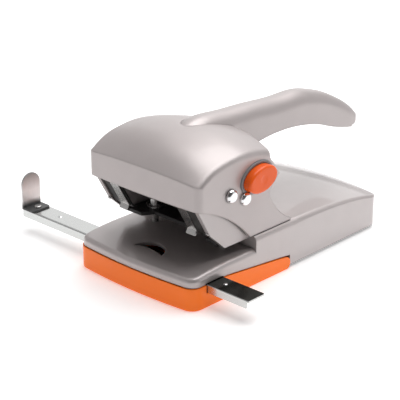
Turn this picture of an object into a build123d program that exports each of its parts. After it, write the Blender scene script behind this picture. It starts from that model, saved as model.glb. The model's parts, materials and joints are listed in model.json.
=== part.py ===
"""Heavy-duty two-hole desk punch with a locking lever, a paper guide and a chip tray.

Frame: +X runs along the paper guide, +Y from the paper side to the handle's end, +Z up.
The origin is on the ground, midway between the two holes and straight below their line.
The lever is modelled pressed down, with both punches in their dies.
All sizes are in millimetres.
"""
import os
from math import atan2, cos, degrees, hypot, radians, sin, tan

from build123d import *

os.makedirs("parts", exist_ok=True)

# ---------------------------------------------------------------- driving dimensions
# Holes and paper slot
hole_spacing = 80.0
hole_margin = 12.0          # hole centre to the edge of the paper
punch_d = 5.5
table_top = 32.0            # height of the flat part of the paper table
slot_height = 9.2           # room for the paper
die_entry = 0.9             # how far a punch enters its die

# Base casing
side_ledge = 3.1            # of the casing, outside the lever's walls
rear_taper = 1.5            # each side comes in by this much at the rear end
base_front = 69.5           # front edge on the middle line
base_rear = 188.0           # rear edge on the middle line
front_bow = 4.5
rear_bow = 5.5
base_corner = 10.0
casing_wall = 3.0
ledge_top = 43.8            # flat ledge beside the lever walls
table_edge_round = 4.5
table_front_drop = 4.5      # the table falls this much towards its front edge
table_flat_start = -22.0    # the fall begins here
shoulder_round = 5.5
skirt_bottom = 3.0
seam_front = 21.0           # lower edge of the casing above the tray
seam_rear = 12.6
seam_bend = -24.0           # the seam starts to slope here

# Lever
pivot_y = -17.4
pivot_z = 89.3
presser_drop = 7.6          # the presser shaft lies this far below the pivot
lever_travel = 32.0         # degrees from pressed to open
head_front = 57.6
head_bow = 2.2
head_corner = 6.5
head_wall = 3.0
cheek_gap = 1.9             # between the cheeks and the lever's walls
head_round = 6.0
head_bottom = 84.6          # lower edge of the front face
axle_d = 8.0
rivet_head_d = 12.0
rivet_head_h = 3.6

# Handle
handle_half = 14.0
handle_top_round = 13.2
nose_y = 208.6              # the grip's end is round about this line
nose_r = 14.7
nose_z = 82.3               # height at which the nose is widest
nose_top = 102.5
nose_bottom = 78.0

# Frame
cheek_side = 16.5           # from the holes' middles out to the cheeks
cheek_t = 4.0
guide_plate_t = 3.0
strap_w = 10.0
strap_t = 1.6
panel_t = 1.5

# Chip tray
tray_proud = 1.1            # the tray stands this far outside the casing
tray_wall = 2.4
tray_floor = 2.0
tray_bottom = 0.0
tray_end = 56.0
tray_end_r = 6.2            # its rear end is round about the hinge
tray_pin_d = 3.0

# Paper guide
bar_front = -50.0
bar_rear = -29.6
bar_left = -163.0
bar_right = 115.0
bar_top = 21.3
bar_t = 1.5
bar_flange = 7.2
stop_height = 54.5

# Lock button
button_y = 14.4
button_z = 96.8
button_long = 17.5          # half length along the lever
button_short = 11.2         # half height
button_tilt = 9.0           # its rear end points up by this angle
button_t = 7.8
button_shell = 2.4
lock_pin_d = 5.0

# Feet and fasteners
foot_d = 12.0
foot_inset = 16.5           # from the base's sides
front_foot_y = -56.8
rear_foot_inset = 22.0      # from the rear edge
screw_d = 4.0

# Smaller features
foot_h = 2.6
post_d = 8.0
plate_t = 1.5
boss_d = 9.0
boss_inset = 14.5           # from the base's sides
boss_front_y = 76.0
boss_rear_inset = 50.0      # from the rear edge
screw_head_d = 7.6
screw_head_h = 1.8
screw_l = 8.0
die_d = 12.0
die_plate_t = 4.0
die_plate_half = 13.0
ear_t = 6.0                 # the casing's ears for the tray pins
ear_r = 3.1
ear_top = 20.0
window_half = 16.5          # crescent window
window_y = -49.8
window_out = 14.6
window_in = 3.3
cheek_root_front = 15.4     # the cheeks go down into the base between these
cheek_root_rear = 44.0
cheek_root_z = 8.0

# Frame details
cross_low = 8.0             # channel between the cheeks' roots
cross_high = 38.0
cross_t = 3.0
flange_t = 6.0
guide_notch_depth = 10.0
guide_bush_h = 12.3         # above the paper slot
guide_flange_d = 17.0
guide_flange_t = 2.5
back_plate_y = 19.0
back_plate_low = 46.5
back_plate_high = 82.0
tie_from = 3.0
tie_w = 6.0
tie_t = 3.0
edge_rivet_d = 3.0
edge_rivet_h = 1.3
panel_inset = 6.0           # the front panels start this far inside the holes
strap_tab = 4.0
bracket_offset = 10.0       # outside the holes
bracket_w = 12.0
bracket_t = 1.5
bracket_floor = 12.2
tray_ear_t = 4.6

# Punches and springs
yoke_t = 3.0
yoke_w = 10.0
spring_d = 12.0
spring_wire = 1.4
spring_turns = 7

# Handle root inside the lever
tongue_front = -10.5
tongue_rear = 22.0
tongue_bottom = 112.0
handle_under = 60.0         # below every point of the handle's underside
saddle_half = 20.0          # bracket that the tongue is bolted to
saddle_t = 2.5
bolt_head_r = 4.0
bolt_head_h = 3.0
bolt_bite = 8.0

# Lock details
collar_depth = 4.1          # from the lever's wall inwards
collar_web = 1.0
collar_t = 1.2
collar_rim = 2.0
collar_proud = 1.4
button_lift = 1.2           # the button's back stands off the lever's wall
button_dimple_r = 4.5
button_dimple_depth = 0.5
button_round = 2.2
lock_spring_d = 14.0

# Paper guide and tray details
bar_corner = 2.0
bar_flange_inset = 2.5      # the flange stops short of the bar's right end
stop_round = 9.0
stop_foot = 15.0
stop_rivet_x = -154.0
stop_rivet_d = 4.0
tray_round = 1.6

# Clearances
running = 0.05              # radial, round running fits
slide_gap = 0.4             # flat sliding faces
seat_gap = 0.1              # fixed parts in their pockets
part_gap = 0.6              # visible gaps between casings
bar_notch_gap = 0.7         # round the guide bar where it leaves the casing
swing_gap = 0.5             # beside parts that swing past each other

# ---------------------------------------------------------------- derived places
slot_top = table_top + slot_height
cheek_inner = hole_spacing / 2 + cheek_side
cheek_outer = cheek_inner + cheek_t
head_half = cheek_outer + cheek_gap + head_wall
base_half = head_half + side_ledge
base_rear_half = base_half - rear_taper
foot_x = base_half - foot_inset
boss_x = base_half - boss_inset
boss_places = (boss_front_y, base_rear - boss_rear_inset)
rear_foot_y = base_rear - rear_foot_inset
skirt_start = tray_end + part_gap                    # behind this line the casing reaches the skirt
ear_outer = base_half - casing_wall + 0.5
ear_inner = ear_outer - ear_t
tray_ear_inner = ear_inner - slide_gap - tray_ear_t
panel_inner = hole_spacing / 2 - panel_inset
panel_depth = strap_t + panel_t                      # back faces of the panels behind the front edge
guide_notch_half = panel_inner + 5.0                 # the guide plate's front edge is recessed here
bracket_x = hole_spacing / 2 + bracket_offset
collar_back = head_half - collar_depth
button_back = head_half + button_lift
presser_y = 0.0
presser_z = pivot_z - presser_drop
presser_r = hypot(presser_y - pivot_y, presser_drop)
presser_angle = degrees(atan2(presser_drop, presser_y - pivot_y))
presser_shift = presser_r - (presser_y - pivot_y)    # sideways play of the shaft over its arc
head_inner = head_half - head_wall
bar_mid = (bar_front + bar_rear) / 2
tray_hinge_y = tray_end - tray_end_r
tray_hinge_z = tray_bottom + tray_end_r
plate_bottom = skirt_bottom
plate_top = plate_bottom + plate_t
cheek_front = ((-51.1, 82.6), (-36.7, 57.5), (-18.9, slot_top))    # the cheeks' slanting front edge
SIDES = {"left": -1, "right": 1}


def save(part, name):
    """Label one finished piece and write its STEP file."""
    part.label = name
    export_step(part, f"parts/{name}.step")
    print(f"{name:22s} {part.volume / 1000:9.2f} cm3")


def crowned_section(y, half, bottom, crown, slope, radius):
    """Section across X at y: upright sides, round shoulders and a top that is one shallow arc.

    slope is the arc's angle in degrees where it meets the shoulder; crown is its height at x = 0.
    """
    end_x = half - radius + radius * sin(radians(slope))
    end_z = crown - end_x * tan(radians(slope / 2))
    side_z = end_z - radius * cos(radians(slope))
    half_turn = radians(45 - slope / 2)
    mid = (half - radius + radius * cos(half_turn), side_z + radius * sin(half_turn))
    with BuildSketch(Plane.XZ.offset(-y)) as section:
        with BuildLine():
            Line((-half, bottom), (half, bottom))
            Line((half, bottom), (half, side_z))
            ThreePointArc((half, side_z), mid, (end_x, end_z))
            ThreePointArc((end_x, end_z), (0, crown), (-end_x, end_z))
            ThreePointArc((-end_x, end_z), (-mid[0], mid[1]), (-half, side_z))
            Line((-half, side_z), (-half, bottom))
        make_face()
    return section.sketch


def crowned_solid(stations, half, bottom, radius, inset=0.0):
    """Loft through (y, crown, slope) stations; inset makes the matching inner space."""
    with BuildPart() as solid:
        sections = []
        for y, crown, slope in stations:
            section = crowned_section(y, half - inset, bottom, crown - inset, slope, radius - inset * 0.6)
            sections.append(section)
        loft(sections=sections)
    return solid.part


# ---------------------------------------------------------------- outlines shared by several parts
def base_outline(grow, y_from=-200.0, y_to=300.0):
    """Plan of the base with bowed ends, grown by a margin and cut to a span of y."""
    front_side = -base_front + front_bow
    rear_side = base_rear - rear_bow
    with BuildSketch() as plan:
        with BuildLine():
            ThreePointArc((-base_half, front_side), (0, -base_front), (base_half, front_side))
            Line((base_half, front_side), (base_half, skirt_start))
            Line((base_half, skirt_start), (base_rear_half, rear_side))
            ThreePointArc((base_rear_half, rear_side), (0, base_rear), (-base_rear_half, rear_side))
            Line((-base_rear_half, rear_side), (-base_half, skirt_start))
            Line((-base_half, skirt_start), (-base_half, front_side))
        make_face()
        outer = plan.vertices().group_by(Axis.Y)
        fillet(outer[0] + outer[-1], base_corner)
        if grow:
            offset(amount=grow)
        with BuildSketch(mode=Mode.INTERSECT):
            with Locations((0, (y_from + y_to) / 2)):
                Rectangle(4 * base_half, y_to - y_from)
    return plan.sketch


def seam_z(y, drop=0.0):
    """Height of the seam between casing and tray at y."""
    share = (y - seam_bend) / (skirt_start - seam_bend)
    return seam_front - max(0.0, share) * (seam_front - seam_rear) - drop


# ---------------------------------------------------------------- base body shapes
TOP_STATIONS = [
    (hole_margin, 45.4, 2.6),
    (40.0, 45.6, 3.0),
    (75.0, 45.6, 3.6),
    (110.0, 44.2, 4.2),
    (145.0, 40.8, 4.6),
    (170.0, 36.4, 4.8),
    (base_rear + 1.0, 31.2, 5.0),
]


def top_height(y):
    """Crown height of the rear body at y, between its stations."""
    for (y0, z0, _), (y1, z1, _) in zip(TOP_STATIONS, TOP_STATIONS[1:]):
        if y0 <= y <= y1:
            return z0 + (z1 - z0) * (y - y0) / (y1 - y0)
    return TOP_STATIONS[-1][1]


def table_solid(inset, y_to):
    """The paper table's body: flat at the holes and falling towards a rounded front edge."""
    with BuildPart() as table:
        with BuildSketch(Plane.YZ):
            with BuildLine():
                Line((y_to, skirt_bottom), (y_to, table_top - inset))
                Line((y_to, table_top - inset), (table_flat_start, table_top - inset))
                TangentArc(
                    (table_flat_start, table_top - inset),
                    (-base_front - 2, table_top - inset - table_front_drop),
                    tangent=(-1, 0),
                )
                Line((-base_front - 2, table_top - inset - table_front_drop), (-base_front - 2, skirt_bottom))
                Line((-base_front - 2, skirt_bottom), (y_to, skirt_bottom))
            make_face()
        extrude(amount=base_half + 5, both=True)
        extrude(base_outline(-inset), amount=100, mode=Mode.INTERSECT)
        rim = table.faces().filter_by(lambda f: f.center().Z > table_top - inset - table_front_drop - 1)
        rim_edges = rim.edges().filter_by(lambda e: e.center().Y < y_to - 0.5 and e.center().Z > table_top / 2)
        outer = rim_edges.filter_by(
            lambda e: abs(e.center().X) > base_half * 0.8 or e.center().Y < -base_front * 0.8
        )
        fillet(outer, table_edge_round - inset * 0.6)
    return table.part


def rear_solid(inset, y_from):
    """The rear body: a crowned top that falls towards a bowed rear end."""
    with BuildPart() as rear:
        add(crowned_solid(TOP_STATIONS, base_half, skirt_bottom, shoulder_round, inset))
        extrude(base_outline(-inset, y_from=y_from), amount=100, mode=Mode.INTERSECT)
    return rear.part


# ---------------------------------------------------------------- base casing
casing_hollow = [
    table_solid(casing_wall, hole_margin + casing_wall),
    rear_solid(casing_wall, hole_margin + casing_wall),
]

with BuildPart() as base_casing:
    add(table_solid(0.0, hole_margin + casing_wall))
    add(rear_solid(0.0, hole_margin))
    for space in casing_hollow:
        add(space, mode=Mode.SUBTRACT)
    # lower edge of the front half, along the seam with the tray
    with BuildSketch(Plane.YZ):
        with BuildLine():
            Polyline(
                (-base_front - 10, -5),
                (-base_front - 10, seam_front),
                (seam_bend, seam_front),
                (skirt_start, seam_rear),
                (skirt_start, -5),
                close=True,
            )
        make_face()
    extrude(amount=2 * base_half, both=True, mode=Mode.SUBTRACT)
    # posts that carry the front feet through the tray, and bosses for the bottom plate
    with BuildSketch(Plane.XY.offset(foot_h)):
        with Locations((-foot_x, front_foot_y), (foot_x, front_foot_y)):
            Circle(post_d / 2)
    extrude(amount=table_top - casing_wall - table_front_drop / 2 + 0.5 - foot_h)
    for boss_y in boss_places:
        with BuildSketch(Plane.XY.offset(plate_top)):
            with Locations((-boss_x, boss_y), (boss_x, boss_y)):
                Circle(boss_d / 2)
        extrude(amount=top_height(boss_y) - casing_wall / 2 - 1.5 - plate_top)
    for sign in SIDES.values():
        for boss_y in boss_places:
            with BuildSketch(Plane.XY.offset(plate_bottom)):
                with Locations((sign * boss_x, boss_y)):
                    Circle(screw_d / 2)
            extrude(amount=screw_l, mode=Mode.SUBTRACT)
    # ears that carry the tray's hinge pins
    for sign in SIDES.values():
        with BuildSketch(Plane.YZ.offset(sign * ear_inner)):
            with Locations((tray_hinge_y, tray_hinge_z)):
                Circle(ear_r)
            with Locations((tray_hinge_y, (tray_hinge_z + ear_top) / 2)):
                Rectangle(2 * ear_r, ear_top - tray_hinge_z)
        extrude(amount=sign * ear_t)
        with BuildSketch(Plane.YZ.offset(sign * (ear_inner - 1))):
            with Locations((tray_hinge_y, tray_hinge_z)):
                Circle(tray_pin_d / 2)
        extrude(amount=sign * 8, mode=Mode.SUBTRACT)
    # notches for the guide bar
    with Locations((0, bar_mid, bar_top + bar_notch_gap - 10)):
        Box(3 * base_half, bar_rear - bar_front + 2 * bar_notch_gap, 20, mode=Mode.SUBTRACT)
    # slots for the cheeks, open towards the paper slot
    for sign in SIDES.values():
        with BuildSketch(Plane.YZ.offset(sign * (cheek_inner - seat_gap))):
            with BuildLine():
                Polyline(
                    (hole_margin - 1, slot_top - seat_gap),
                    (cheek_root_front - seat_gap, slot_top - seat_gap),
                    (cheek_root_front - seat_gap, table_top),
                    (cheek_root_rear + seat_gap, table_top),
                    (cheek_root_rear + seat_gap, ledge_top + 10),
                    (hole_margin - 1, ledge_top + 10),
                    close=True,
                )
            make_face()
        extrude(amount=sign * (cheek_t + 2 * seat_gap), mode=Mode.SUBTRACT)
    # crescent window over the guide bar
    with BuildSketch(Plane.XY.offset(table_top - 15)):
        with BuildLine():
            ThreePointArc((-window_half, window_y), (0, window_y + window_out), (window_half, window_y))
            ThreePointArc((window_half, window_y), (0, window_y + window_in), (-window_half, window_y))
        make_face()
    extrude(amount=20, mode=Mode.SUBTRACT)
    # seats of the two die bushes
    with BuildSketch(Plane.XY.offset(table_top - 10)):
        with GridLocations(hole_spacing, 0, 2, 1):
            Circle(die_d / 2 + seat_gap)
    extrude(amount=12, mode=Mode.SUBTRACT)
save(base_casing.part, "base_casing")


# ---------------------------------------------------------------- bottom plate, feet and screws
screw_spots = [(sign * boss_x, y) for sign in SIDES.values() for y in boss_places]
front_foot_spots = [(sign * foot_x, front_foot_y) for sign in SIDES.values()]
rear_foot_spots = [(sign * foot_x, rear_foot_y) for sign in SIDES.values()]

with BuildPart() as bottom_plate:
    extrude(base_outline(-casing_wall - slide_gap, y_from=skirt_start + 1.0), amount=plate_top)
    with BuildSketch():
        Rectangle(4 * base_half, 4 * base_rear)
    extrude(amount=plate_bottom, mode=Mode.SUBTRACT)
    with BuildSketch():
        with Locations(*screw_spots):
            Circle(screw_d / 2 + seat_gap)
    extrude(amount=2 * plate_top, mode=Mode.SUBTRACT)
save(bottom_plate.part, "bottom_plate")

with BuildPart() as base_screws:
    with BuildSketch(Plane.XY.offset(plate_bottom - screw_head_h)):
        with Locations(*screw_spots):
            Circle(screw_head_d / 2)
    extrude(amount=screw_head_h)
    chamfer(base_screws.faces().group_by(Axis.Z)[0].edges(), 0.4)
    with BuildSketch(Plane.XY.offset(plate_bottom)):
        with Locations(*screw_spots):
            Circle(screw_d / 2)
    extrude(amount=screw_l - 0.5)
save(base_screws.part, "base_screws")

for name, spots, height in (
    ("front_feet", front_foot_spots, foot_h),
    ("rear_feet", rear_foot_spots, plate_bottom),
):
    with BuildPart() as feet:
        with BuildSketch():
            with Locations(*spots):
                Circle(foot_d / 2)
        extrude(amount=height)
        chamfer(feet.faces().group_by(Axis.Z)[0].edges(), 0.5)
    save(feet.part, name)


# ---------------------------------------------------------------- inner frame
front_run = cheek_front[1][0] - cheek_front[0][0]
front_drop = cheek_front[0][1] - cheek_front[1][1]
front_len = hypot(front_run, front_drop)
tip_run = cheek_front[2][0] - cheek_front[1][0]
tip_drop = cheek_front[1][1] - cheek_front[2][1]
tip_len = hypot(tip_run, tip_drop)
root_mid = (cheek_root_front + cheek_root_rear) / 2
cross_mid = (cross_low + cross_high) / 2
frame_screw_spots = [(root_mid - cross_t - 3.0, cross_mid), (root_mid + cross_t + 3.0, cross_mid)]


def on_front(along, depth):
    """A point (y, z) beside the cheeks' upper front edge: along it from the top, and behind it."""
    return (
        cheek_front[0][0] + (along * front_run + depth * front_drop) / front_len,
        cheek_front[0][1] + (depth * front_run - along * front_drop) / front_len,
    )


def on_tip(along, depth):
    """The same beside the lower front edge, which runs down to the tip."""
    return (
        cheek_front[1][0] + (along * tip_run + depth * tip_drop) / tip_len,
        cheek_front[1][1] + (depth * tip_run - along * tip_drop) / tip_len,
    )


for side, sign in SIDES.items():
    with BuildPart() as cheek:
        with BuildSketch(Plane.YZ.offset(sign * cheek_inner)) as outline:
            with BuildLine():
                Polyline(
                    cheek_front[2],
                    cheek_front[1],
                    cheek_front[0],
                    (pivot_y - 22.6, pivot_z + 5.7),
                    (pivot_y + 7.4, pivot_z + 13.7),
                    (button_y + 4.4, button_z + 4.8),
                    (button_y + 8.4, button_z - 16.2),
                    (cheek_root_rear - 4.0, ledge_top + 4.2),
                    (cheek_root_rear, ledge_top + 4.2),
                    (cheek_root_rear, cheek_root_z),
                    (cheek_root_front, cheek_root_z),
                    (cheek_root_front, slot_top),
                    close=True,
                )
            make_face()
            corners = outline.vertices().filter_by(lambda v: v.Z > pivot_z - 1)
            fillet(corners, 3.0)
        extrude(amount=sign * cheek_t)
        # pivot seat, lock hole, screw holes, and the arc in which the presser shaft travels
        with BuildSketch(Plane.YZ.offset(sign * (cheek_inner - 1))):
            with Locations((pivot_y, pivot_z)):
                Circle(axle_d / 2)
            with Locations((button_y, button_z)):
                Circle(lock_pin_d / 2 + slide_gap)
            with Locations(*frame_screw_spots):
                Circle(screw_d / 2 + seat_gap)
            with BuildLine():
                arc = CenterArc((pivot_y, pivot_z), presser_r, -presser_angle, lever_travel)
            SlotArc(arc, axle_d + 2 * swing_gap + 2 * slide_gap)
        extrude(amount=sign * (cheek_t + 2), mode=Mode.SUBTRACT)
    save(cheek.part, f"{side}_cheek")

with BuildPart() as cross_member:
    with BuildSketch(Plane.YZ):
        with Locations((root_mid, cross_mid)):
            Rectangle(cheek_root_rear - cheek_root_front, cross_high - cross_low)
        with Locations((root_mid, cross_mid - cross_t)):
            Rectangle(
                cheek_root_rear - cheek_root_front - 2 * cross_t,
                cross_high - cross_low,
                mode=Mode.SUBTRACT,
            )
    extrude(amount=cheek_inner, both=True)
    for sign in SIDES.values():
        with BuildSketch(Plane.YZ.offset(sign * cheek_inner)):
            with Locations((root_mid, cross_mid)):
                Rectangle(cheek_root_rear - cheek_root_front - cross_t, cross_high - cross_low)
        extrude(amount=-sign * flange_t)
        with BuildSketch(Plane.YZ.offset(sign * cheek_inner)):
            with Locations(*frame_screw_spots):
                Circle(screw_d / 2)
        extrude(amount=-sign * (flange_t + 1), mode=Mode.SUBTRACT)
save(cross_member.part, "cross_member")

with BuildPart() as frame_screws:
    for sign in SIDES.values():
        with BuildSketch(Plane.YZ.offset(sign * cheek_outer)):
            with Locations(*frame_screw_spots):
                Circle(screw_head_d / 2)
        extrude(amount=sign * screw_head_h)
        with BuildSketch(Plane.YZ.offset(sign * cheek_outer)):
            with Locations(*frame_screw_spots):
                Circle(screw_d / 2)
        extrude(amount=-sign * (cheek_t + flange_t))
save(frame_screws.part, "frame_screws")

with BuildPart() as die_plate:
    with BuildSketch(Plane.XY.offset(table_top - casing_wall - die_plate_t)):
        with Locations((0, (cheek_root_front - die_plate_half) / 2)):
            Rectangle(2 * cheek_inner, cheek_root_front + die_plate_half)
        with GridLocations(hole_spacing, 0, 2, 1):
            Circle(die_d / 2, mode=Mode.SUBTRACT)
    extrude(amount=die_plate_t)
save(die_plate.part, "die_plate")

guide_front = cheek_front[2][0] + 0.3
guide_rear = hole_margin - slide_gap
with BuildPart() as guide_plate:
    with BuildSketch(Plane.XY.offset(slot_top)):
        with BuildLine():
            Polyline(
                (-cheek_inner, guide_rear),
                (cheek_inner, guide_rear),
                (cheek_inner, guide_front),
                (guide_notch_half, guide_front),
                (guide_notch_half - 6, guide_front + guide_notch_depth),
                (-guide_notch_half + 6, guide_front + guide_notch_depth),
                (-guide_notch_half, guide_front),
                (-cheek_inner, guide_front),
                close=True,
            )
        make_face()
        with GridLocations(hole_spacing, 0, 2, 1):
            Circle(die_d / 2, mode=Mode.SUBTRACT)
    extrude(amount=guide_plate_t)
save(guide_plate.part, "guide_plate")

with BuildPart() as back_plate:
    with BuildSketch(Plane.XZ.offset(-back_plate_y)):
        with Locations((0, (back_plate_low + back_plate_high) / 2)):
            Rectangle(2 * cheek_inner, back_plate_high - back_plate_low)
    extrude(amount=-panel_t)
save(back_plate.part, "back_plate")

with BuildPart() as front_tie:
    with BuildSketch(Plane.YZ):
        with BuildLine():
            Polyline(
                on_front(tie_from, panel_depth),
                on_front(tie_from + tie_w, panel_depth),
                on_front(tie_from + tie_w, panel_depth + tie_t),
                on_front(tie_from, panel_depth + tie_t),
                close=True,
            )
        make_face()
    extrude(amount=cheek_inner, both=True)
save(front_tie.part, "front_tie")

with BuildPart() as edge_rivets:
    for sign in SIDES.values():
        rivet_y, rivet_z = on_front(front_len - 2.2, 0.0)
        seat = Plane(
            origin=(sign * (cheek_inner + cheek_t / 2), rivet_y, rivet_z),
            z_dir=(0, -front_drop, -front_run),
        )
        with BuildSketch(seat):
            Circle(edge_rivet_d / 2)
        extrude(amount=edge_rivet_h)
    fillet(edge_rivets.faces().filter_by(GeomType.PLANE).sort_by(Axis.Y)[0:2].edges(), edge_rivet_h / 2)
save(edge_rivets.part, "edge_rivets")

for side, sign in SIDES.items():
    punch_x = sign * hole_spacing / 2

    with BuildPart() as front_panel:
        with BuildSketch(Plane.YZ.offset(sign * panel_inner)):
            with BuildLine():
                Polyline(
                    on_front(1.0, strap_t),
                    on_front(front_len + 0.3, strap_t),
                    on_tip(tip_len - 1.0, strap_t),
                    on_tip(tip_len - 2.0, panel_depth),
                    on_front(front_len + 0.2, panel_depth),
                    on_front(1.0, panel_depth),
                    close=True,
                )
            make_face()
        extrude(amount=sign * (cheek_inner - panel_inner))
        # the lower edge sweeps up from the tip towards the strap
        with BuildSketch(Plane.XZ):
            with BuildLine():
                low = (sign * (cheek_inner - 1.0), slot_top + guide_plate_t)
                high = (sign * panel_inner, cheek_front[1][1] - 2.0)
                ThreePointArc(low, (sign * (panel_inner + 12.0), cheek_front[1][1] - 6.5), high)
                Polyline(high, (sign * (panel_inner - 5), high[1]), (sign * (panel_inner - 5), low[1] - 5),
                         (sign * (cheek_inner + 1), low[1] - 5), (sign * (cheek_inner + 1), low[1]), low)
            make_face()
        extrude(amount=100, both=True, mode=Mode.SUBTRACT)
    save(front_panel.part, f"{side}_front_panel")

    with BuildPart() as strap:
        with BuildSketch(Plane.YZ.offset(punch_x)):
            with BuildLine():
                Polyline(
                    on_front(0.5, 0.0),
                    on_front(front_len - 1.0, 0.0),
                    on_front(front_len + 1.6, -strap_tab),
                    on_front(front_len + 2.8, strap_t - strap_tab),
                    on_front(front_len + 0.2, strap_t),
                    on_front(0.5, strap_t),
                    close=True,
                )
            make_face()
        extrude(amount=strap_w / 2, both=True)
    save(strap.part, f"{side}_strap")

    with BuildPart() as die:
        with BuildSketch(Plane.XY.offset(table_top - casing_wall - die_plate_t)):
            with Locations((punch_x, 0)):
                Circle(die_d / 2)
                Circle(punch_d / 2 + 2 * running, mode=Mode.SUBTRACT)
        extrude(amount=casing_wall + die_plate_t - seat_gap)
    save(die.part, f"{side}_die")

    with BuildPart() as punch_guide:
        with BuildSketch(Plane.XY.offset(slot_top + seat_gap)):
            with Locations((punch_x, 0)):
                Circle(die_d / 2)
        extrude(amount=guide_bush_h - seat_gap)
        with BuildSketch(Plane.XY.offset(slot_top + guide_plate_t)):
            with Locations((punch_x, 0)):
                Circle(guide_flange_d / 2)
        extrude(amount=guide_flange_t)
        with BuildSketch(Plane.XY.offset(slot_top)):
            with Locations((punch_x, 0)):
                Circle(punch_d / 2 + running)
        extrude(amount=2 * guide_bush_h, mode=Mode.SUBTRACT)
    save(punch_guide.part, f"{side}_punch_guide")

    # bracket of the paper guide: a sleeve that hangs from the underside of the table
    with BuildPart() as guide_bracket:
        with Locations((sign * bracket_x, bar_mid, (bracket_floor + table_top) / 2)):
            Box(bracket_w, bar_rear - bar_front + 2 * (slide_gap + bracket_t), table_top - bracket_floor)
        sleeve_h = bar_flange + 2 * slide_gap
        with Locations((sign * bracket_x, bar_mid, bracket_floor + bracket_t + sleeve_h / 2)):
            Box(2 * bracket_w, bar_rear - bar_front + 2 * slide_gap, sleeve_h, mode=Mode.SUBTRACT)
        add(casing_hollow[0], mode=Mode.INTERSECT)
    save(guide_bracket.part, f"{side}_guide_bracket")

with BuildPart() as tray_pins:
    for sign in SIDES.values():
        with BuildSketch(Plane.YZ.offset(sign * (tray_ear_inner + 0.5))):
            with Locations((tray_hinge_y, tray_hinge_z)):
                Circle(tray_pin_d / 2)
        extrude(amount=sign * (ear_outer - tray_ear_inner - 0.5))
save(tray_pins.part, "tray_pins")


# ---------------------------------------------------------------- pivot axle and presser shaft
def headed_rod(centre_y, centre_z, gap):
    """A rod through both lever walls, with a domed head on each end."""
    reach = head_half + gap
    with BuildPart() as rod:
        with BuildSketch(Plane.YZ):
            with Locations((centre_y, centre_z)):
                Circle(axle_d / 2)
        extrude(amount=reach, both=True)
        for sign in SIDES.values():
            with BuildSketch(Plane.YZ.offset(sign * reach)):
                with Locations((centre_y, centre_z)):
                    Circle(rivet_head_d / 2)
            extrude(amount=sign * rivet_head_h)
        ends = rod.faces().filter_by(Axis.X).sort_by(Axis.X)
        fillet(ends[0].edges() + ends[-1].edges(), rivet_head_h - 0.6)
    return rod.part


save(headed_rod(pivot_y, pivot_z, swing_gap), "pivot_axle")
save(headed_rod(presser_y, presser_z, 0.0), "presser_shaft")

with BuildPart() as pivot_washers:
    for sign in SIDES.values():
        with BuildSketch(Plane.YZ.offset(sign * cheek_outer)):
            with Locations((pivot_y, pivot_z)):
                Circle(axle_d)
                Circle(axle_d / 2, mode=Mode.SUBTRACT)
        extrude(amount=sign * (head_inner - cheek_outer - slide_gap))
save(pivot_washers.part, "pivot_washers")


# ---------------------------------------------------------------- punches and their springs
yoke_slot_y = axle_d / 2 + presser_shift / 2 + slide_gap
yoke_slot_z = axle_d / 2 + slide_gap
yoke_y = presser_y + presser_shift / 2
spring_low = slot_top + guide_bush_h
spring_high = presser_z - yoke_slot_z - yoke_t

for side, sign in SIDES.items():
    punch_x = sign * hole_spacing / 2
    with BuildPart() as punch:
        with BuildSketch(Plane.XY.offset(table_top - die_entry)):
            with Locations((punch_x, 0)):
                Circle(punch_d / 2)
        extrude(amount=spring_high - table_top + die_entry)
        with BuildSketch(Plane.XZ):
            with BuildLine():
                tip_z = table_top - die_entry
                Polyline(
                    (punch_x - punch_d, tip_z - 1),
                    (punch_x - punch_d / 2, tip_z),
                    (punch_x, tip_z + 1.0),
                    (punch_x + punch_d / 2, tip_z),
                    (punch_x + punch_d, tip_z - 1),
                    close=True,
                )
            make_face()
        extrude(amount=punch_d, both=True, mode=Mode.SUBTRACT)
        with BuildSketch(Plane.YZ.offset(punch_x)):
            with Locations((yoke_y, presser_z)):
                RectangleRounded(2 * (yoke_slot_y + yoke_t), 2 * (yoke_slot_z + yoke_t), 2.0)
                SlotOverall(2 * yoke_slot_y, 2 * yoke_slot_z, mode=Mode.SUBTRACT)
        extrude(amount=yoke_w / 2, both=True)
    save(punch.part, f"{side}_punch")

    rise = spring_high - spring_low - spring_wire - 2 * seat_gap
    with BuildPart() as spring:
        with BuildLine():
            coil = Helix(
                pitch=rise / spring_turns,
                height=rise,
                radius=(spring_d - spring_wire) / 2,
                center=(punch_x, 0, spring_low + spring_wire / 2 + seat_gap),
            )
        with BuildSketch(Plane(origin=coil @ 0, z_dir=coil % 0)):
            Circle(spring_wire / 2)
        sweep()
    save(spring.part, f"{side}_spring")


# ---------------------------------------------------------------- lever: handle
bracket_mid = (tongue_rear + tongue_front + 6.0) / 2
tongue_len = tongue_rear - tongue_front - 8.0
bolt_spots = [(0, bracket_mid - tongue_len / 4), (0, bracket_mid + tongue_len / 4)]

HANDLE_CREST = [
    (-16.0, 128.0),
    (-8.0, 130.8),
    (9.0, 135.2),
    (24.0, 135.0),
    (42.5, 133.4),
    (82.0, 131.1),
    (127.0, 129.1),
    (154.0, 125.6),
    (167.0, 121.6),
    (177.0, 117.8),
    (188.0, 112.5),
    (199.0, 106.5),
    (208.0, 100.9),
    (214.0, 96.3),
    (226.0, 81.6),
]

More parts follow.
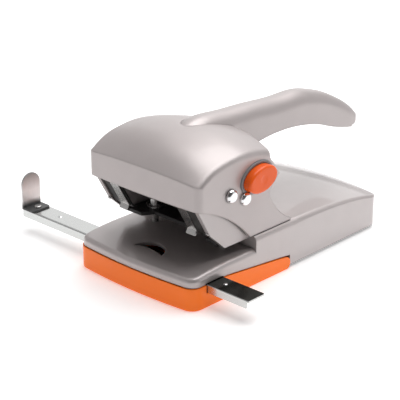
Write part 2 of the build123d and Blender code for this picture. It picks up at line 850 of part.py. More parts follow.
# how far the handle reaches: a pointed tip on the lever's top, and a nose that is round from every side
with BuildPart() as handle_limit:
    with BuildSketch():
        with BuildLine():
            Line((handle_half + 1, nose_y), (-handle_half - 1, nose_y))
            Line((-handle_half - 1, nose_y), (-handle_half - 1, 12.0))
            ThreePointArc((-handle_half - 1, 12.0), (-9.6, -4.4), (0, tongue_front))
            ThreePointArc((0, tongue_front), (9.6, -4.4), (handle_half + 1, 12.0))
            Line((handle_half + 1, 12.0), (handle_half + 1, nose_y))
        make_face()
    extrude(amount=200)
    with BuildSketch(Plane.XZ.offset(-nose_y)):
        with BuildLine():
            Spline(
                (0, nose_top),
                (nose_r * 0.5, nose_z + (nose_top - nose_z) * 0.866),
                (nose_r * 0.82, nose_z + (nose_top - nose_z) * 0.572),
                (nose_r, nose_z),
                tangents=((1, 0), (0, -1)),
            )
            ThreePointArc((nose_r, nose_z), (nose_r - 1.2, nose_z - 3.1), (nose_r - 4.3, nose_bottom))
            Polyline((nose_r - 4.3, nose_bottom), (0, nose_bottom), (0, nose_top))
        make_face()
    revolve(axis=Axis((0, nose_y, 0), (0, 0, 1)))
handle_reach = handle_limit.part

handle_stations = [(y, crest, 12.0) for y, crest in HANDLE_CREST]
with BuildPart() as handle:
    add(crowned_solid(handle_stations, handle_half, handle_under, handle_top_round))
    with BuildSketch(Plane.YZ):
        with BuildLine():
            Polyline(
                (tongue_front, tongue_bottom + 10),
                (tongue_front + 4, tongue_bottom),
                (tongue_rear, tongue_bottom),
                (26.0, 101.0),
                (30.0, 93.4),
                (42.0, 92.6),
                (48.0, 92.6),
            )
            ThreePointArc((48.0, 92.6), (103.0, 101.0), (163.0, 91.8))
            ThreePointArc((163.0, 91.8), (186.0, 83.4), (nose_y, nose_bottom))
            Polyline((nose_y, nose_bottom), (230.0, nose_bottom), (230.0, 150.0), (tongue_front, 150.0),
                     (tongue_front, tongue_bottom + 10))
        make_face()
    extrude(amount=2 * handle_half, both=True, mode=Mode.INTERSECT)
    add(handle_reach, mode=Mode.INTERSECT)
    with BuildSketch(Plane.XY.offset(tongue_bottom)):
        with Locations(*bolt_spots):
            Circle(screw_d / 2)
    extrude(amount=bolt_bite + 0.5, mode=Mode.SUBTRACT)
handle_solid = handle.part
save(handle_solid, "handle")


# ---------------------------------------------------------------- lever: head cover
HEAD_STATIONS = [
    (-60.0, 106.5, 6.5),
    (-56.0, 110.5, 8.0),
    (-49.0, 116.5, 10.5),
    (-37.0, 124.5, 14.0),
    (-20.0, 130.0, 17.5),
    (0.0, 132.0, 19.0),
    (20.0, 129.3, 19.0),
    (36.0, 124.7, 19.0),
    (50.0, 119.5, 19.0),
    (64.0, 114.7, 19.0),
]
waist = (30.6, 78.6)
rear_corner = (43.8, 92.2)
toe = (60.4, 46.2)


def head_plan(inset):
    """Plan of the lever's head: a bowed front face, and a bowed rear edge of its top."""
    front = -head_front + inset
    half = head_half - inset
    with BuildSketch() as plan:
        with BuildLine():
            ThreePointArc((-half, front + head_bow), (0, front), (half, front + head_bow))
            Line((half, front + head_bow), (half, 100))
            Line((half, 100), (-half, 100))
            Line((-half, 100), (-half, front + head_bow))
        make_face()
        fillet(plan.vertices().group_by(Axis.Y)[0], head_corner - inset)
    return plan.sketch


with BuildPart() as head_space:
    add(crowned_solid(HEAD_STATIONS, head_half, 40.0, head_round, head_wall))
    extrude(head_plan(head_wall), amount=200, mode=Mode.INTERSECT)
    with BuildSketch(Plane.YZ):
        with BuildLine():
            Polyline(
                (-90, 30),
                (90, 30),
                (90, rear_corner[1] - 1.8),
                (rear_corner[0] - 2.4, rear_corner[1] - 1.8),
                (28.6, 108.2),
                (28.6, 150),
                (-90, 150),
                close=True,
            )
        make_face()
    extrude(amount=2 * head_half, both=True, mode=Mode.INTERSECT)
head_space_solid = head_space.part

with BuildPart() as head_cover:
    add(crowned_solid(HEAD_STATIONS, head_half, 40.0, head_round))
    extrude(head_plan(0.0), amount=200, mode=Mode.INTERSECT)
    with BuildSketch(Plane.YZ):
        with BuildLine():
            Polyline((-90, 150), (-90, head_bottom), (-55.0, head_bottom))
            ThreePointArc((-55.0, head_bottom), (-24.0, 71.4), (7.6, ledge_top + part_gap))
            Polyline((7.6, ledge_top + part_gap), (toe[0], ledge_top + part_gap), toe)
            ThreePointArc(toe, (43.5, 58.0), waist)
            Polyline(waist, rear_corner, (31.0, 110.0), (48.0, 110.0), (48.0, 150), (-90, 150))
        make_face()
    extrude(amount=2 * head_half, both=True, mode=Mode.INTERSECT)
    # bowed rear edge of the top, the lip over the handle's root
    with BuildSketch(Plane.XY.offset(110.0)):
        with BuildLine():
            ThreePointArc((-head_half - 2, 30.6), (0, 42.0), (head_half + 2, 30.6))
            Polyline((head_half + 2, 30.6), (head_half + 2, 80), (-head_half - 2, 80), (-head_half - 2, 30.6))
        make_face()
    extrude(amount=60, mode=Mode.SUBTRACT)
    add(head_space_solid, mode=Mode.SUBTRACT)
    add(handle_solid, mode=Mode.SUBTRACT)
    with BuildSketch(Plane.YZ):
        with Locations((pivot_y, pivot_z)):
            Circle(axle_d / 2 + running)
        with Locations((presser_y, presser_z)):
            Circle(axle_d / 2)
    extrude(amount=2 * head_half, both=True, mode=Mode.SUBTRACT)
    with BuildSketch(Plane.YZ.offset(head_inner - 10)):
        with Locations((button_y, button_z)):
            Ellipse(button_long + part_gap + collar_t, button_short + part_gap + collar_t, rotation=button_tilt)
    extrude(amount=20, mode=Mode.SUBTRACT)
save(head_cover.part, "head_cover")

# bracket under the roof that the handle's tongue is bolted to
with BuildPart() as handle_bracket:
    with Locations((0, bracket_mid, tongue_bottom + 20 - saddle_t / 2)):
        Box(2 * (saddle_half + saddle_t), tongue_len, 40 + saddle_t)
    with Locations((0, bracket_mid, tongue_bottom + 25)):
        Box(2 * saddle_half, tongue_len, 50, mode=Mode.SUBTRACT)
    add(head_space_solid, mode=Mode.INTERSECT)
    with BuildSketch(Plane.XY.offset(tongue_bottom - 10)):
        with Locations(*bolt_spots):
            Circle(screw_d / 2 + seat_gap)
    extrude(amount=12, mode=Mode.SUBTRACT)
save(handle_bracket.part, "handle_bracket")

with BuildPart() as handle_bolts:
    with BuildSketch(Plane.XY.offset(tongue_bottom - saddle_t)):
        with Locations(*bolt_spots):
            RegularPolygon(bolt_head_r, 6)
    extrude(amount=-bolt_head_h)
    with BuildSketch(Plane.XY.offset(tongue_bottom - saddle_t)):
        with Locations(*bolt_spots):
            Circle(screw_d / 2)
    extrude(amount=saddle_t + bolt_bite)
save(handle_bolts.part, "handle_bolts")


# ---------------------------------------------------------------- lock button on the lever's right wall
with BuildPart() as lock_collar:
    with BuildSketch(Plane.YZ.offset(collar_back)):
        with Locations((button_y, button_z)):
            Ellipse(button_long + part_gap + collar_t, button_short + part_gap + collar_t, rotation=button_tilt)
    extrude(amount=head_half - collar_back)
    with BuildSketch(Plane.YZ.offset(head_half)):
        with Locations((button_y, button_z)):
            Ellipse(
                button_long + part_gap + collar_rim,
                button_short + part_gap + collar_rim,
                rotation=button_tilt,
            )
    extrude(amount=collar_proud)
    fillet(lock_collar.faces().sort_by(Axis.X)[-1].edges(), collar_proud * 0.6)
    with BuildSketch(Plane.YZ.offset(collar_back + collar_web)):
        with Locations((button_y, button_z)):
            Ellipse(button_long + part_gap * 0.6, button_short + part_gap * 0.6, rotation=button_tilt)
    extrude(amount=20, mode=Mode.SUBTRACT)
    with BuildSketch(Plane.YZ.offset(collar_back - 1)):
        with Locations((button_y, button_z)):
            Circle(lock_pin_d / 2 + running)
        with Locations((presser_y, presser_z)):
            Circle(axle_d / 2)
    extrude(amount=20, mode=Mode.SUBTRACT)
    # the rim makes room for the head of the presser shaft
    with BuildSketch(Plane.YZ.offset(head_half)):
        with Locations((presser_y, presser_z)):
            Circle(rivet_head_d / 2 + slide_gap)
    extrude(amount=20, mode=Mode.SUBTRACT)
save(lock_collar.part, "lock_collar")

with BuildPart() as lock_button:
    with BuildSketch(Plane.YZ.offset(button_back)):
        with Locations((button_y, button_z)):
            Ellipse(button_long, button_short, rotation=button_tilt)
    extrude(amount=button_t)
    fillet(lock_button.faces().sort_by(Axis.X)[-1].edges(), button_round)
    # shallow dimple in the middle of its face
    dimple_ball = (button_dimple_r**2 + button_dimple_depth**2) / (2 * button_dimple_depth)
    with Locations((button_back + button_t - button_dimple_depth + dimple_ball, button_y, button_z)):
        Sphere(dimple_ball, mode=Mode.SUBTRACT)
    with BuildSketch(Plane.YZ.offset(button_back)):
        with Locations((button_y, button_z)):
            Circle(lock_spring_d / 2 + part_gap)
    extrude(amount=button_t - button_shell, mode=Mode.SUBTRACT)
    with BuildSketch(Plane.YZ.offset(button_back)):
        with Locations((button_y, button_z)):
            Circle(lock_pin_d / 2)
    extrude(amount=button_t - button_shell / 2, mode=Mode.SUBTRACT)
save(lock_button.part, "lock_button")

with BuildPart() as lock_pin:
    with BuildSketch(Plane.YZ.offset(cheek_outer + swing_gap)):
        with Locations((button_y, button_z)):
            Circle(lock_pin_d / 2)
    extrude(amount=button_back + button_t - button_shell / 2 - cheek_outer - swing_gap)
    chamfer(lock_pin.faces().sort_by(Axis.X)[0].edges(), 0.5)
save(lock_pin.part, "lock_pin")


# ---------------------------------------------------------------- paper guide
with BuildPart() as guide_bar:
    with Locations(((bar_left + bar_right) / 2, bar_mid, bar_top - bar_t / 2)):
        Box(bar_right - bar_left, bar_rear - bar_front, bar_t)
    flange_mid = (bar_left + bar_right - bar_flange_inset) / 2
    with Locations((flange_mid, bar_front + bar_t / 2, bar_top - bar_flange / 2)):
        Box(bar_right - bar_left - bar_flange_inset, bar_t, bar_flange)
    fillet(guide_bar.edges().filter_by(Axis.Z).sort_by(Axis.Y)[-2:], bar_corner)
    fillet(guide_bar.edges().filter_by(Axis.X).sort_by(lambda e: e.center().Z - e.center().Y)[-1], bar_t * 0.6)
    with BuildSketch(Plane.XY.offset(bar_top - bar_t - 1)):
        with Locations((stop_rivet_x, bar_mid)):
            Circle(stop_rivet_d / 2)
    extrude(amount=bar_t + 2, mode=Mode.SUBTRACT)
save(guide_bar.part, "guide_bar")

with BuildPart() as side_stop:
    with BuildSketch(Plane.YZ.offset(bar_left)):
        with BuildLine():
            Polyline(
                (bar_front - 0.8, bar_top),
                (bar_rear - 0.2, bar_top),
                (bar_rear - 0.2, stop_height - stop_round),
            )
            ThreePointArc(
                (bar_rear - 0.2, stop_height - stop_round),
                (bar_mid - 0.5, stop_height),
                (bar_front - 0.8, stop_height - stop_round),
            )
            Line((bar_front - 0.8, stop_height - stop_round), (bar_front - 0.8, bar_top))
        make_face()
    extrude(amount=bar_t)
    with Locations((bar_left + stop_foot / 2, bar_mid - 0.5, bar_top + bar_t / 2)):
        Box(stop_foot, bar_rear - bar_front + 0.6, bar_t)
    fillet(side_stop.edges().filter_by(Axis.Z).sort_by(Axis.X)[-2:], bar_corner)
    with BuildSketch(Plane.XY.offset(bar_top - 1)):
        with Locations((stop_rivet_x, bar_mid)):
            Circle(stop_rivet_d / 2)
    extrude(amount=bar_t + 2, mode=Mode.SUBTRACT)
save(side_stop.part, "side_stop")

with BuildPart() as guide_rivet:
    with BuildSketch(Plane.XY.offset(bar_top - bar_t - 0.8)):
        with Locations((stop_rivet_x, bar_mid)):
            Circle(stop_rivet_d / 2 + 1.0)
    extrude(amount=0.8)
    with BuildSketch(Plane.XY.offset(bar_top - bar_t)):
        with Locations((stop_rivet_x, bar_mid)):
            Circle(stop_rivet_d / 2)
    extrude(amount=2 * bar_t)
    with BuildSketch(Plane.XY.offset(bar_top + bar_t)):
        with Locations((stop_rivet_x, bar_mid)):
            Circle(stop_rivet_d / 2 + 1.4)
    extrude(amount=1.4)
    fillet(guide_rivet.faces().sort_by(Axis.Z)[-1].edges(), 0.9)
save(guide_rivet.part, "guide_rivet")


# ---------------------------------------------------------------- chip tray
rim_bend = tray_hinge_y - 9.0
with BuildSketch(Plane.YZ) as tray_profile:
    # rim below the casing's seam, and an end rounded about the hinge
    with BuildLine():
        Polyline(
            (tray_hinge_y, tray_bottom),
            (-2 * base_front, tray_bottom),
            (-2 * base_front, seam_front - part_gap),
            (seam_bend, seam_front - part_gap),
            (rim_bend, seam_z(rim_bend) - part_gap),
            (tray_hinge_y, tray_hinge_z + tray_end_r),
        )
        ThreePointArc(
            (tray_hinge_y, tray_hinge_z + tray_end_r),
            (tray_end, tray_hinge_z),
            (tray_hinge_y, tray_bottom),
        )
    make_face()
tray_side = tray_profile.sketch

with BuildPart() as chip_tray:
    extrude(base_outline(tray_proud), amount=60)
    fillet(chip_tray.edges().group_by(Axis.Z)[0], tray_round)
    extrude(tray_side, amount=2 * base_half, both=True, mode=Mode.INTERSECT)
    # inner space, with a low wall at the rear
    with BuildSketch(Plane.XY.offset(tray_floor)):
        add(base_outline(tray_proud - tray_wall, y_to=tray_hinge_y - ear_r - tray_wall))
    extrude(amount=60, mode=Mode.SUBTRACT)
    with BuildSketch(Plane.XY.offset(tray_hinge_z - ear_r - part_gap / 2)):
        with Locations((0, tray_hinge_y)):
            Rectangle(2 * (base_half + tray_proud - tray_wall), 2 * (ear_r + tray_wall) + 1)
    extrude(amount=60, mode=Mode.SUBTRACT)
    # notches for the guide bar
    notch_z = bar_top - bar_flange - bar_notch_gap
    with Locations((0, bar_mid, notch_z + 20)):
        Box(3 * base_half, bar_rear - bar_front + 2 * bar_notch_gap, 40, mode=Mode.SUBTRACT)
    # holes that the front feet pass through
    with BuildSketch():
        with Locations(*front_foot_spots):
            Circle(foot_d / 2 + swing_gap + slide_gap)
    extrude(amount=2 * tray_floor, mode=Mode.SUBTRACT)
    # hinge ears
    for sign in SIDES.values():
        with BuildSketch(Plane.YZ.offset(sign * tray_ear_inner)):
            with Locations((tray_hinge_y, tray_hinge_z)):
                Circle(ear_r)
            with Locations((tray_hinge_y, (tray_hinge_z + tray_floor / 2) / 2)):
                Rectangle(2 * ear_r, tray_hinge_z - tray_floor / 2)
        extrude(amount=sign * tray_ear_t)
        with BuildSketch(Plane.YZ.offset(sign * (tray_ear_inner - 1))):
            with Locations((tray_hinge_y, tray_hinge_z)):
                Circle(tray_pin_d / 2 + running)
        extrude(amount=sign * 8, mode=Mode.SUBTRACT)
save(chip_tray.part, "chip_tray")
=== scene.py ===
"""Looks of the desk hole punch: materials, small detail and studio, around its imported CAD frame."""

import json
from math import cos, pi, radians, sin

import bmesh
import bpy
from mathutils import Matrix, Vector


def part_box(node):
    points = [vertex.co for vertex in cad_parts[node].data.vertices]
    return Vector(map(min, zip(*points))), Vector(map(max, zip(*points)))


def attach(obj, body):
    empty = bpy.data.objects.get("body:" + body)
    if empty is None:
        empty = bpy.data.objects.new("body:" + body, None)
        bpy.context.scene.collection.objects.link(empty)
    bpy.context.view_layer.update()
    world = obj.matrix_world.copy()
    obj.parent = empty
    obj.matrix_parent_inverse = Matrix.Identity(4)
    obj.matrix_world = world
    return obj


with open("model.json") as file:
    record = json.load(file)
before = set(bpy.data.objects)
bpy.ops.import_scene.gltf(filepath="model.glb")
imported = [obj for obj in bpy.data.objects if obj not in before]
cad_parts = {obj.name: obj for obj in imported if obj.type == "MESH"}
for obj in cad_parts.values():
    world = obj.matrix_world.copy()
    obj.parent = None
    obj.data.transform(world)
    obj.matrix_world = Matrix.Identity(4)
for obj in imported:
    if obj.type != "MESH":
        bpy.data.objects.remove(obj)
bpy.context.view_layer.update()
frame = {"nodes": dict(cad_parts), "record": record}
NODES = frame["nodes"]
MM = 0.001
BEND = 0.0004                # radius that the edges of sheet steel are shaded with


# ---------------------------------------------------------------- node helpers
class Nodes:
    """A material's node tree, with short calls for the nodes that these materials share."""

    def __init__(self, name):
        self.material = bpy.data.materials.new(name)
        self.material.use_nodes = True
        self.tree = self.material.node_tree
        self.shader = self.tree.nodes["Principled BSDF"]
        coordinates = self.tree.nodes.new("ShaderNodeTexCoord")
        self.place = coordinates.outputs["Object"]

    def node(self, kind, **inputs):
        """A new node, its inputs named with _ for each space."""
        made = self.tree.nodes.new(kind)
        for key, value in inputs.items():
            self.set(made.inputs[key.replace("_", " ")], value)
        return made

    def set(self, socket, value):
        """Link the value when it is another node's output, and store it otherwise."""
        if isinstance(value, bpy.types.NodeSocket):
            self.tree.links.new(value, socket)
        else:
            socket.default_value = value

    def noise(self, scale, detail=3.0, roughness=0.55, vector=None):
        made = self.node("ShaderNodeTexNoise", Scale=scale, Detail=detail, Roughness=roughness)
        self.set(made.inputs["Vector"], vector or self.place)
        return made.outputs["Fac"]

    def grey_ramp(self, factor, *stops):
        """Greys between stops of a position and a value."""
        made = self.node("ShaderNodeValToRGB", Fac=factor)
        elements = made.color_ramp.elements
        while len(elements) < len(stops):
            elements.new(0.5)
        for element, (position, value) in zip(elements, stops):
            element.position = position
            element.color = (value, value, value, 1.0)
        return made.outputs["Color"]

    def mix(self, factor, a, b, blend="MIX"):
        """Colours a and b mixed; the sockets 6, 7 and 2 are the node's colour ones."""
        made = self.node("ShaderNodeMix")
        made.data_type = "RGBA"
        made.blend_type = blend
        self.set(made.inputs[0], factor)
        self.set(made.inputs[6], a)
        self.set(made.inputs[7], b)
        return made.outputs[2]

    def multiply(self, a, b):
        return self.mix(1.0, a, b, "MULTIPLY")

    def math(self, operation, a, b):
        made = self.node("ShaderNodeMath")
        made.operation = operation
        self.set(made.inputs[0], a)
        self.set(made.inputs[1], b)
        return made.outputs["Value"]

    def vector_math(self, operation, a, b, output):
        made = self.node("ShaderNodeVectorMath")
        made.operation = operation
        self.set(made.inputs[0], a)
        self.set(made.inputs[1], b)
        return made.outputs[output]

    def axis(self, vector, name):
        return self.node("ShaderNodeSeparateXYZ", Vector=vector).outputs[name]

    def span(self, value, low, high):
        """0 at low, 1 at high and straight between."""
        made = self.node("ShaderNodeMapRange", Value=value, From_Min=low, From_Max=high)
        return made.outputs["Result"]

    def face_normal(self):
        return self.node("ShaderNodeNewGeometry").outputs["True Normal"]

    def stretched(self, scale):
        made = self.node("ShaderNodeMapping", Vector=self.place, Scale=scale)
        return made.outputs["Vector"]

    def soft_edges(self, radius):
        """Normals that round every edge off, as moulding and bending do."""
        return self.node("ShaderNodeBevel", Radius=radius).outputs["Normal"]

    def painted_crevice_shade(self, distance, dark):
        """Painted shade: 1 in the open, falling to dark in seams, slots and under overhangs."""
        shade = self.node("ShaderNodeAmbientOcclusion", Distance=distance)
        return self.grey_ramp(shade.outputs["AO"], (0.25, dark), (0.8, 1.0))

    def painted_glow_walls(self):
        """Mask of the painted light: 1 on walls that face away from the object's middle line, 0 on
        inner walls and floors.
        """
        flat = self.vector_math("MULTIPLY", self.place, (1.0, 1.0, 0.0), "Vector")
        facing = self.vector_math("DOT_PRODUCT", flat, self.face_normal(), "Value")
        return self.span(facing, 0.01, 0.02)

    def bump(self, height, strength, distance, normal=None):
        made = self.node("ShaderNodeBump", Height=height, Strength=strength, Distance=distance)
        if normal is not None:
            self.set(made.inputs["Normal"], normal)
        return made.outputs["Normal"]

    def dress(self, **inputs):
        """Set the shader's inputs, with _ for each space of their names, and give the material."""
        for key, value in inputs.items():
            self.set(self.shader.inputs[key.replace("_", " ")], value)
        return self.material


def rgb(colour, factor=1.0):
    """A colour, scaled, with the fourth channel that sockets want."""
    return tuple(channel * factor for channel in colour) + (1.0,)


def metallic_paint(name, base, edge, coat):
    """Silver paint on moulded plastic: fine flakes under a soft clear coat, and slight waviness."""
    n = Nodes(name)
    flakes = n.mix(n.noise(5200.0, 1.0, 0.4), rgb(base, 0.93), rgb(base, 1.07))
    clouds = n.grey_ramp(n.noise(38.0, 2.0), (0.3, 0.965), (0.7, 1.0))
    fine = n.bump(n.noise(2600.0, 2.0), 0.05, 0.0002, n.soft_edges(edge))
    return n.dress(
        # The colour is darkened by painted shade in seams, slots and under overhangs.
        Base_Color=n.multiply(n.multiply(flakes, clouds), n.painted_crevice_shade(0.004, 0.25)),
        Metallic=0.42,
        Roughness=n.grey_ramp(n.noise(90.0, 3.0), (0.25, 0.36), (0.75, 0.44)),
        Coat_Weight=coat,
        Coat_Roughness=0.07,
        Normal=n.bump(n.noise(60.0, 2.0), 0.03, 0.0006, fine),
    )


def gloss_plastic(name, base, roughness=0.22, painted_glow=0.0):
    """Moulded glossy plastic, faintly textured; the last argument is the strength of painted light
    that the outer walls give off, which brightens them.
    """
    n = Nodes(name)
    # Painted light: the outer walls give off their own colour, so they look brighter than the lamps
    # make them.
    if painted_glow:
        n.dress(Emission_Color=rgb(base), Emission_Strength=n.math("MULTIPLY", n.painted_glow_walls(), painted_glow))
    rough = ((0.3, roughness - 0.04), (0.75, roughness + 0.06))
    return n.dress(
        Base_Color=n.mix(n.noise(30.0, 3.0), rgb(base, 0.96), rgb(base, 1.03)),
        Roughness=n.grey_ramp(n.noise(140.0, 4.0), *rough),
        Specular_IOR_Level=0.28,
        Coat_Weight=0.08,
        Coat_Roughness=0.08,
        Normal=n.bump(n.noise(1800.0, 2.0), 0.04, 0.0002, n.soft_edges(0.0008)),
    )


def brushed_metal(name, base, roughness, along):
    """Steel with fine grain and a few broad stains; along stretches the grain on each axis."""
    n = Nodes(name)
    grain = n.noise(60.0, 6.0, 0.7, n.stretched(along))
    tone = n.mix(grain, rgb(base, 0.86), rgb(base, 1.08))
    stains = n.grey_ramp(n.noise(25.0, 3.0), (0.45, 0.0), (0.8, 0.35))
    return n.dress(
        Base_Color=n.mix(stains, tone, rgb(base, 0.8)),
        Metallic=1.0,
        Roughness=n.grey_ramp(grain, (0.2, roughness - 0.08), (0.8, roughness + 0.1)),
        Normal=n.bump(grain, 0.08, 0.0003, n.soft_edges(BEND)),
    )


def guide_steel(name, base):
    """Plated steel strip: bright, with a painted dark reflection on its upper face at the right end.
    """
    n = Nodes(name)
    grain = n.noise(60.0, 6.0, 0.7, n.stretched((2.0, 60.0, 60.0)))
    tone = n.mix(grain, rgb(base, 0.86), rgb(base, 1.08))
    right = n.span(n.axis(n.place, "X"), 0.055, 0.066)
    upper = n.span(n.axis(n.face_normal(), "Z"), 0.85, 0.98)
    # Painted dark reflection: the upper face at the right end gets a dark, faintly mottled colour.
    painted_dark_reflection = n.mix(n.noise(300.0, 4.0), (0.035, 0.042, 0.036, 1), (0.085, 0.095, 0.085, 1))
    return n.dress(
        Base_Color=n.mix(n.math("MULTIPLY", right, upper), tone, painted_dark_reflection),
        Metallic=1.0,
        Roughness=n.grey_ramp(grain, (0.2, 0.14), (0.8, 0.28)),
        Normal=n.bump(grain, 0.05, 0.0003, n.soft_edges(BEND)),
    )


def painted_shade_steel(name, low, high):
    """Satin steel with painted shade towards its foot and its upper end, between two heights."""
    n = Nodes(name)
    grain = n.noise(60.0, 5.0, 0.7, n.stretched((60.0, 40.0, 3.0)))
    stops = ((0.04, 0.08), (0.10, 0.2), (0.24, 0.9), (0.50, 0.85), (0.80, 0.5), (1.0, 0.3))
    # Painted shade on the curved tab: the colour darkens towards its foot and its upper end.
    tone = n.grey_ramp(n.span(n.axis(n.place, "Z"), low, high), *stops)
    return n.dress(
        Base_Color=n.multiply(tone, n.grey_ramp(grain, (0.2, 0.8), (0.8, 1.0))),
        Metallic=0.5,
        Roughness=n.grey_ramp(grain, (0.2, 0.3), (0.8, 0.46)),
        Normal=n.bump(grain, 0.05, 0.0003, n.soft_edges(BEND)),
    )


def black_paint(name, base, roughness):
    """Baked black paint with fine orange peel."""
    n = Nodes(name)
    rough = ((0.3, roughness - 0.08), (0.7, roughness + 0.08))
    return n.dress(
        Base_Color=n.mix(n.noise(60.0, 3.0), rgb(base, 0.8), rgb(base, 1.3)),
        Roughness=n.grey_ramp(n.noise(160.0, 3.0), *rough),
        Normal=n.bump(n.noise(900.0, 2.0), 0.12, 0.0003),
    )


def rubber(name):
    """Dull moulded rubber with a fine grain."""
    n = Nodes(name)
    return n.dress(
        Base_Color=n.mix(n.noise(80.0), (0.018, 0.018, 0.018, 1), (0.035, 0.034, 0.033, 1)),
        Roughness=n.grey_ramp(n.noise(200.0), (0.3, 0.7), (0.7, 0.9)),
        Normal=n.bump(n.noise(1500.0), 0.25, 0.0004),
    )


SILVER = (0.500, 0.452, 0.446)
ORANGE = (0.95, 0.180, 0.010)
BUTTON_ORANGE = (0.90, 0.120, 0.012)
COLLAR_GREY = (0.25, 0.25, 0.26)
STEEL = (0.62, 0.63, 0.62)
PUNCH_STEEL = (0.55, 0.54, 0.53)
POLISHED = (0.82, 0.82, 0.83)
BLACK = (0.02, 0.018, 0.017)
BEND_SHADE = (0.03, 0.03, 0.03)
silver = metallic_paint("silver_paint", SILVER, edge=0.0022, coat=0.2)
silver_base = metallic_paint("silver_paint_base", SILVER, edge=0.0012, coat=0.85)
# Both orange plastics give off painted light on their outer walls.
orange = gloss_plastic("orange_plastic", ORANGE, painted_glow=0.17)
button_orange = gloss_plastic("button_plastic", BUTTON_ORANGE, painted_glow=0.03)
collar_grey = gloss_plastic("grey_plastic", COLLAR_GREY, 0.35)
steel = guide_steel("guide_strip_steel", STEEL)
punch_steel = brushed_metal("punch_steel", PUNCH_STEEL, 0.2, (60.0, 60.0, 2.0))
chrome = brushed_metal("polished_steel", POLISHED, 0.1, (8.0, 8.0, 8.0))
# The side stop's steel carries painted shade at its foot and upper end.
stop_steel = painted_shade_steel("satin_steel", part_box("side_stop")[0][2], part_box("side_stop")[1][2])
black = black_paint("black_paint", BLACK, 0.45)
foot_rubber = rubber("foot_rubber")

FINISH = {
    "silver_casing": silver_base,
    "silver_lever": silver,
    "orange_tray": orange,
    "orange_button": button_orange,
    "grey_collar": collar_grey,
    "silver_frame": silver_base,
    "black_frame": black,
    "bright_steel": punch_steel,
    "rivet_chrome": chrome,
    "guide_steel": steel,
    "bottom_steel": black,
    "foot_rubber": foot_rubber,
}
NODE_FINISH = {"side_stop": stop_steel}     # stands before its slot's finish
for subpart in frame["record"]["subparts"]:
    name = subpart["node"]
    materials = NODES[name].data.materials
    materials.clear()
    materials.append(NODE_FINISH.get(name) or FINISH[subpart["material_slot"]])


# ---------------------------------------------------------------- small detail
def placed(name, data):
    """A new object of this data, in the scene."""
    made = bpy.data.objects.new(name, data)
    bpy.context.scene.collection.objects.link(made)
    return made


def piece(name, body, material, build):
    """One mesh piece, built in place by a function, that moves with a body."""
    mesh = bpy.data.meshes.new(name)
    shape = bmesh.new()
    build(shape)
    bmesh.ops.recalc_face_normals(shape, faces=shape.faces)
    shape.to_mesh(mesh)
    shape.free()
    made = placed(name, mesh)
    mesh.materials.append(material)
    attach(made, body)
    return made


def skin_rings(shape, rings):
    """Close a stack of equal rings of vertices: both ends, and the walls between them."""
    shape.faces.new(rings[0])
    shape.faces.new(rings[-1])
    for lower, upper in zip(rings, rings[1:]):
        for i in range(len(lower)):
            after = (i + 1) % len(lower)
            shape.faces.new((lower[i], lower[after], upper[after], upper[i]))


def add_block(shape, low, high):
    """A small block with its upper edges chamfered, between two corners in millimetres."""
    inset = min(high[0] - low[0], high[1] - low[1]) * 0.2
    rings = []
    for z, trim in ((low[2], 0.0), ((low[2] + high[2]) / 2, 0.0), (high[2], inset)):
        corners = (
            (low[0] + trim, low[1] + trim),
            (high[0] - trim, low[1] + trim),
            (high[0] - trim, high[1] - trim),
            (low[0] + trim, high[1] - trim),
        )
        rings.append([shape.verts.new((x * MM, y * MM, z * MM)) for x, y in corners])
    skin_rings(shape, rings)


def add_dome(shape, centre, radius, height, steps=20):
    """A low round pip on an upper face, in millimetres."""
    rings = []
    for share in (1.0, 0.9, 0.7, 0.4):
        rise = height * (1.0 - share**2)
        ring = []
        for i in range(steps):
            angle = 2 * pi * i / steps
            x = centre[0] + radius * share * cos(angle)
            y = centre[1] + radius * share * sin(angle)
            ring.append(shape.verts.new((x * MM, y * MM, (centre[2] + rise) * MM)))
        rings.append(ring)
    skin_rings(shape, rings)


BAR_LOW, BAR_HIGH = [[value / MM for value in corner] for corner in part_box("guide_bar")]
BAR_TOP = BAR_HIGH[2]
LINE_END = BAR_LOW[0] + 98.0        # inside the base
LINES = (                           # first x, distance behind the front edge, width
    (BAR_LOW[0] + 2.0, 0.75, 0.35),
    (BAR_LOW[0] + 23.0, 1.55, 0.45),
)
LINE_SINK = 0.05
PIP_PLACES = (BAR_LOW[0] + 39.0, BAR_HIGH[0] - 35.2)
PIP_Y = (BAR_LOW[1] + BAR_HIGH[1]) / 2 + 1.0
PIP_R = 2.1
PIP_H = 0.8
PIP_SINK = 0.02


def painted_bend_shade(shape):
    """Two dark lines of painted shade along the strip's front bend, left of the base."""
    for start, back, width in LINES:
        front = BAR_LOW[1] + back
        low = (start, front, BAR_TOP - LINE_SINK)
        high = (LINE_END, front + width, BAR_TOP + LINE_SINK)
        add_block(shape, low, high)


def stop_pips(shape):
    """Raised pips that the strip's spring catch clicks over."""
    for x in PIP_PLACES:
        add_dome(shape, (x, PIP_Y, BAR_TOP - PIP_SINK), PIP_R, PIP_H)


# Painted shade: dark lines laid along the guide strip's front bend.
bend_shade_paint = black_paint("painted_bend_shade_marks", BEND_SHADE, 0.5)
piece("guide_bend_lines", "paper_guide", bend_shade_paint, painted_bend_shade)
pips = piece("guide_stop_pips", "paper_guide", chrome, stop_pips)
for face in pips.data.polygons:
    face.use_smooth = True


# ---------------------------------------------------------------- studio
CENTRE = (0.0, 0.05, 0.06)
SOFT_BOXES = {                      # place, size and power
    "top_box": ((0.05, 0.45, 1.5), 1.5, 25.0),
    "back_box": ((-0.9, 1.2, 0.75), 1.2, 2.6),
    "right_box": ((1.3, 1.0, 0.6), 0.8, 0.8),
}
CAMERA_PLACE = (0.83832, -0.86861, 0.56520)
CAMERA_AZIMUTH = 43.5
CAMERA_ELEVATION = 22.64
CAMERA_LENS = 136.34
FLOOR_REACH = 4.0
NEAR_SIDE = (0.62, -0.50, 0.60)     # where the room is darkest
ROOM_STRENGTH = 0.55


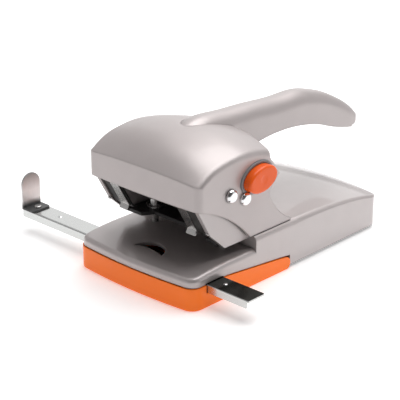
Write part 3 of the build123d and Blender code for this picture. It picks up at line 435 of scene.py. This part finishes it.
def floor():
    """A wide sheet of white paper, lit a little from below, so that shadows on it stay soft."""
    mesh = bpy.data.meshes.new("floor")
    shape = bmesh.new()
    bmesh.ops.create_grid(shape, x_segments=8, y_segments=8, size=FLOOR_REACH)
    shape.to_mesh(mesh)
    shape.free()
    n = Nodes("floor_paper")
    paper = n.dress(
        Base_Color=n.mix(n.noise(3.0), (0.93, 0.93, 0.93, 1), (0.95, 0.95, 0.95, 1)),
        Roughness=0.6,
        Emission_Color=(1, 1, 1, 1),
        Emission_Strength=0.32,
    )
    mesh.materials.append(paper)
    made = placed("floor", mesh)


def area_light(name, place, size, power):
    """A square soft box that faces the object, in metres and watts."""
    data = bpy.data.lights.new(name, "AREA")
    data.energy = power
    data.shape = "SQUARE"
    data.size = size
    made = placed(name, data)
    made.location = place
    direction = Vector(CENTRE) - Vector(place)
    made.rotation_euler = direction.to_track_quat("-Z", "Y").to_euler()


def camera():
    """A long lens, level with the horizon, that looks down on the front right corner."""
    azimuth = radians(CAMERA_AZIMUTH)
    elevation = radians(CAMERA_ELEVATION)
    back = Vector((sin(azimuth) * cos(elevation), -cos(azimuth) * cos(elevation), sin(elevation)))
    right = Vector((0, 0, 1)).cross(back).normalized()
    up = back.cross(right)
    data = bpy.data.cameras.new("camera")
    data.sensor_width = 36.0
    data.lens = CAMERA_LENS
    data.clip_end = 20.0
    made = placed("camera", data)
    turn = Matrix((right, up, back)).transposed().to_4x4()
    made.matrix_world = Matrix.Translation(CAMERA_PLACE) @ turn
    bpy.context.scene.camera = made


def sky():
    """A studio room: pale all round, and dark high on the near side, which the rivets mirror."""
    world = bpy.data.worlds.new("studio")
    world.use_nodes = True
    tree = world.node_tree
    place = tree.nodes.new("ShaderNodeTexCoord")
    lean = tree.nodes.new("ShaderNodeVectorMath")
    lean.operation = "DOT_PRODUCT"
    lean.inputs[1].default_value = Vector(NEAR_SIDE).normalized()
    tree.links.new(place.outputs["Generated"], lean.inputs[0])
    shade = tree.nodes.new("ShaderNodeValToRGB")
    pale, dark = shade.color_ramp.elements
    pale.position = 0.15
    pale.color = (0.95, 0.94, 0.94, 1)
    dark.position = 0.75
    dark.color = (0.17, 0.16, 0.16, 1)
    tree.links.new(lean.outputs["Value"], shade.inputs["Fac"])
    tree.links.new(shade.outputs["Color"], tree.nodes["Background"].inputs["Color"])
    tree.nodes["Background"].inputs["Strength"].default_value = ROOM_STRENGTH
    bpy.context.scene.world = world


floor()
camera()
for name, (place, size, power) in SOFT_BOXES.items():
    area_light(name, place, size, power)
sky()
bpy.context.scene.view_settings.view_transform = "Standard"
